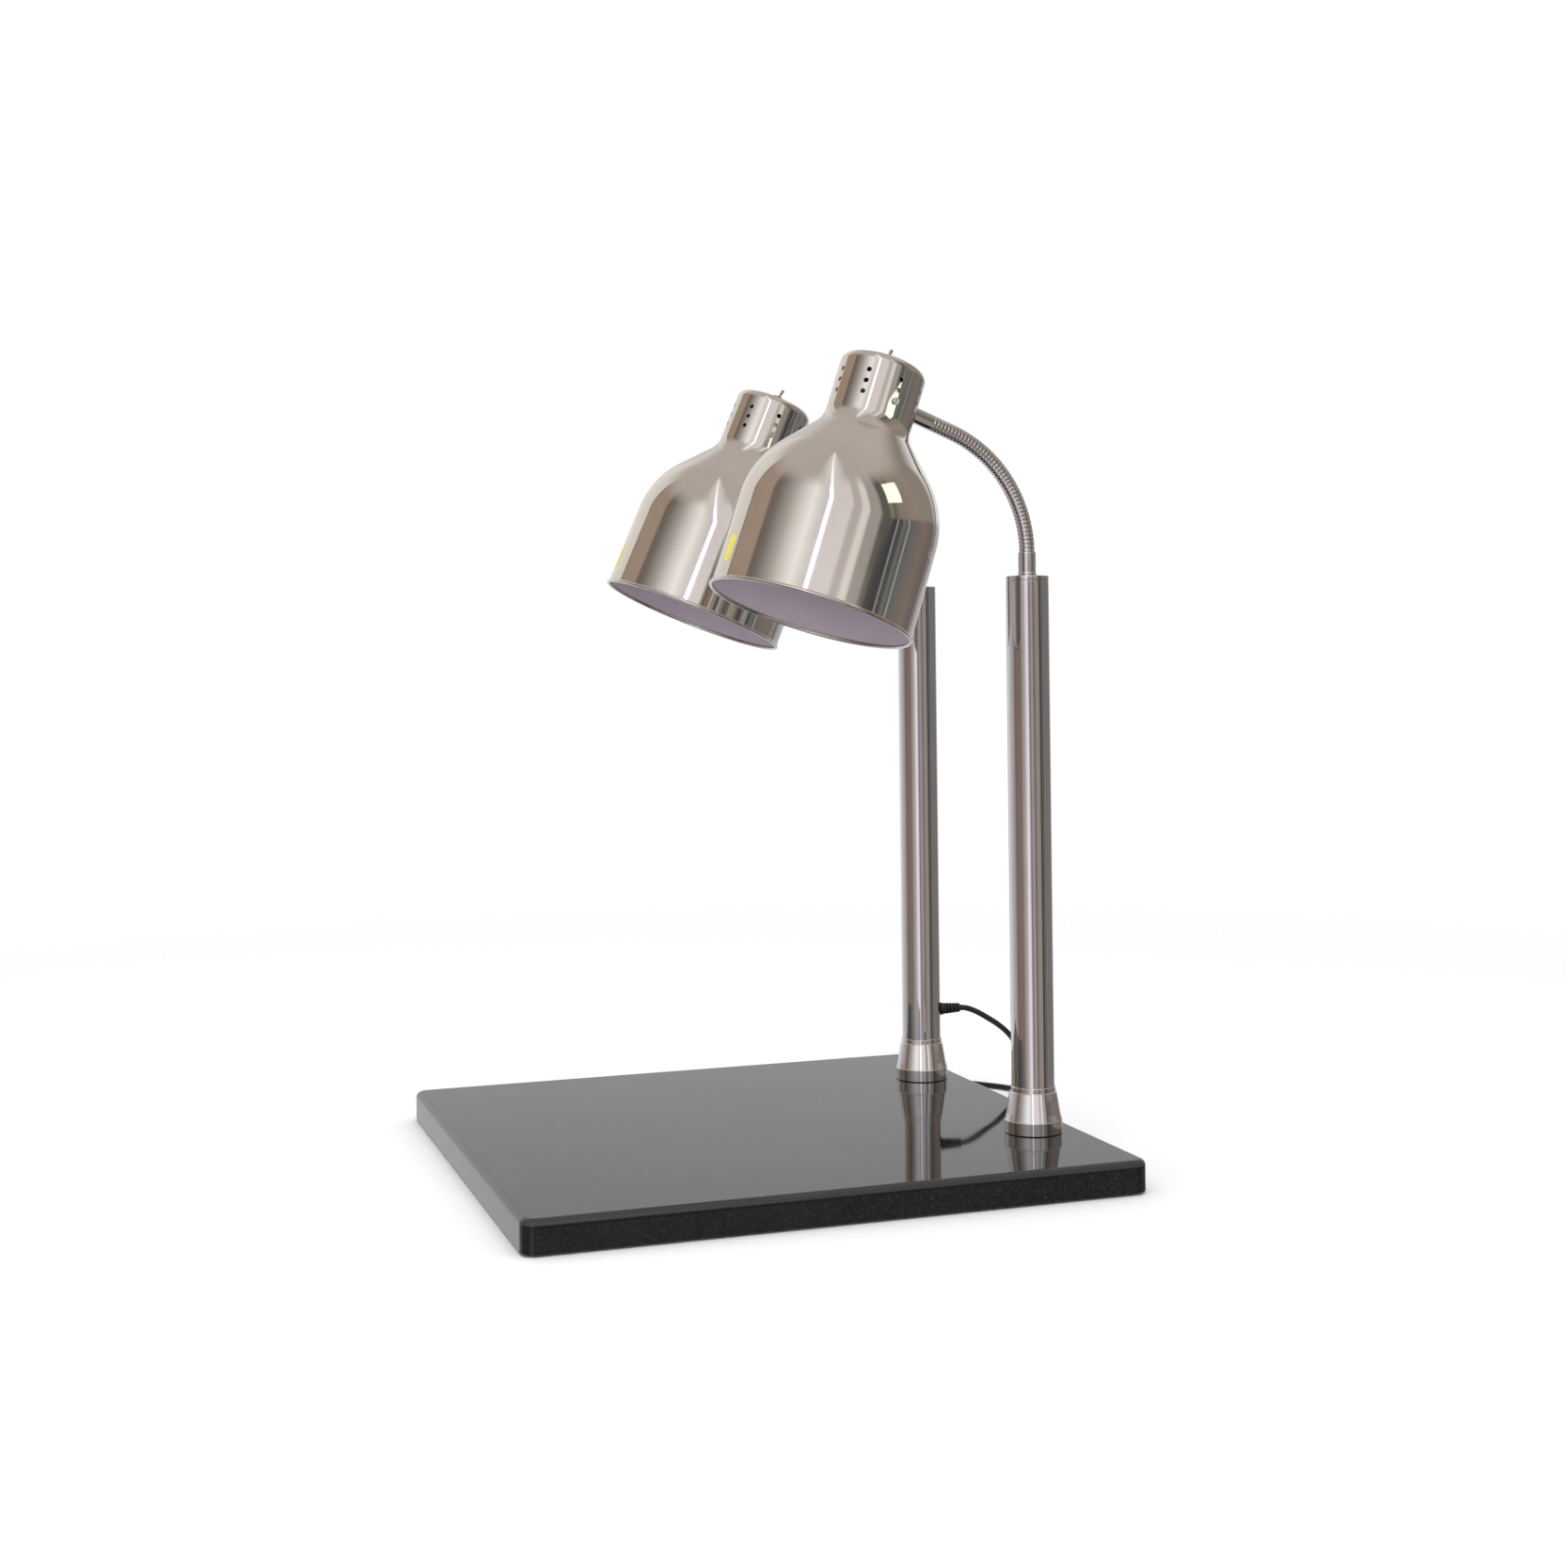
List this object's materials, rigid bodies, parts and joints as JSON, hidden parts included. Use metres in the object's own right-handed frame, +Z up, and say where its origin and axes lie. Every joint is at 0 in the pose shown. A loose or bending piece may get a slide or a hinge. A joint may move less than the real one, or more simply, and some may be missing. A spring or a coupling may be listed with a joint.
{
  "type": "heat lamp warmer",
  "caption": "Carving station warmer: polished stone slab, chromed posts with bendable arms and bell-shaped infrared lamps with toggle switches.",
  "frame": {"origin": "on the counter, under the middle of the slab", "axes": "+Z up, -Y towards the carver, the side away from the posts, +X to the right seen from the carver's side"},
  "size_m": [0.6941, 0.6892, 0.8106],
  "materials": {
    "stone": null,
    "rubber": "matt",
    "zinc_steel": "zinc plated",
    "chrome": "mirror",
    "shade_steel": "polished outside, white enamel inside",
    "cable": "satin",
    "ceramic": null,
    "bulb_glass": "frosted face, silvered behind",
    "bulb_cap": "satin",
    "plastic": "matt",
    "brass": "plain"
  },
  "bodies": {
    "base": {"stone_base": "stone", "rubber_feet": "rubber", "post_bolts": "zinc_steel", "post_washers": "zinc_steel", "link_cable": "cable", "channel_cover": "zinc_steel", "right_post": "chrome", "right_post_foot": "zinc_steel", "right_post_collar": "chrome", "right_post_cap": "chrome", "right_post_wire": "cable", "left_post": "chrome", "left_post_foot": "zinc_steel", "left_post_collar": "chrome", "left_post_cap": "chrome", "left_post_wire": "cable", "strain_relief": "rubber", "mains_cord": "cable", "cord_coil": "cable", "cord_tail": "cable", "cord_tie": "rubber", "plug_body": "plastic", "plug_pins": "brass"},
    "right_arm_lower": {"right_arm_sleeve": "chrome", "right_arm_link_1": "chrome"},
    "right_arm_middle": {"right_arm_link_2": "chrome"},
    "right_arm_upper": {"right_arm_link_3": "chrome"},
    "right_head": {"right_arm_link_4": "chrome", "right_arm_tail": "chrome", "right_arm_nut": "zinc_steel", "right_shade": "shade_steel", "right_lampholder": "ceramic", "right_holder_bracket": "zinc_steel", "right_bracket_screws": "zinc_steel", "right_bulb_glass": "bulb_glass", "right_bulb_cap": "bulb_cap", "right_switch_body": "plastic", "right_switch_nut": "chrome"},
    "right_switch": {"right_switch_lever": "chrome"},
    "left_arm_lower": {"left_arm_sleeve": "chrome", "left_arm_link_1": "chrome"},
    "left_arm_middle": {"left_arm_link_2": "chrome"},
    "left_arm_upper": {"left_arm_link_3": "chrome"},
    "left_head": {"left_arm_link_4": "chrome", "left_arm_tail": "chrome", "left_arm_nut": "zinc_steel", "left_shade": "shade_steel", "left_lampholder": "ceramic", "left_holder_bracket": "zinc_steel", "left_bracket_screws": "zinc_steel", "left_bulb_glass": "bulb_glass", "left_bulb_cap": "bulb_cap", "left_switch_body": "plastic", "left_switch_nut": "chrome"},
    "left_switch": {"left_switch_lever": "chrome"}
  },
  "joints": [
    {"name": "right_arm_swivel", "type": "hinge", "parent": "base", "child": "right_arm_lower", "pos_m": [0.148, 0.25, 0.59], "axis": [0, 0, 1], "range_deg": [-17, 35]},
    {"name": "right_arm_bend_1", "type": "hinge", "parent": "right_arm_lower", "child": "right_arm_middle", "pos_m": [0.14908, 0.24352, 0.65225], "axis": [0.9863, 0.165, 0], "range_deg": [-14, 8]},
    {"name": "right_arm_bend_2", "type": "hinge", "parent": "right_arm_middle", "child": "right_arm_upper", "pos_m": [0.15217, 0.2251, 0.68629], "axis": [0.9863, 0.165, 0], "range_deg": [-14, 8]},
    {"name": "right_arm_bend_3", "type": "hinge", "parent": "right_arm_upper", "child": "right_head", "pos_m": [0.15682, 0.1973, 0.71304], "axis": [0.9863, 0.165, 0], "range_deg": [-14, 8]},
    {"name": "right_switch_toggle", "type": "hinge", "parent": "right_head", "child": "right_switch", "pos_m": [0.1748, 0.08985, 0.79643], "axis": [0.9863, 0.165, 0], "range_deg": [0, 22]},
    {"name": "left_arm_swivel", "type": "hinge", "parent": "base", "child": "left_arm_lower", "pos_m": [-0.148, 0.25, 0.59], "axis": [0, 0, 1], "range_deg": [-35, 10.5]},
    {"name": "left_arm_bend_1", "type": "hinge", "parent": "left_arm_lower", "child": "left_arm_middle", "pos_m": [-0.1484, 0.24245, 0.652], "axis": [0.9986, -0.0523, 0], "range_deg": [-14, 8]},
    {"name": "left_arm_bend_2", "type": "hinge", "parent": "left_arm_middle", "child": "left_arm_upper", "pos_m": [-0.14946, 0.22204, 0.68502], "axis": [0.9986, -0.0523, 0], "range_deg": [-14, 8]},
    {"name": "left_arm_bend_3", "type": "hinge", "parent": "left_arm_upper", "child": "left_head", "pos_m": [-0.15099, 0.19296, 0.71079], "axis": [0.9986, -0.0523, 0], "range_deg": [-14, 8]},
    {"name": "left_switch_toggle", "type": "hinge", "parent": "left_head", "child": "left_switch", "pos_m": [-0.15649, 0.08797, 0.79861], "axis": [0.9986, -0.0523, 0], "range_deg": [0, 22]}
  ],
  "couplings": [
    {"joint": "right_arm_bend_2", "follows": "right_arm_bend_1", "ratio": 1},
    {"joint": "right_arm_bend_3", "follows": "right_arm_bend_1", "ratio": 1},
    {"joint": "left_arm_bend_2", "follows": "left_arm_bend_1", "ratio": 1},
    {"joint": "left_arm_bend_3", "follows": "left_arm_bend_1", "ratio": 1}
  ]
}
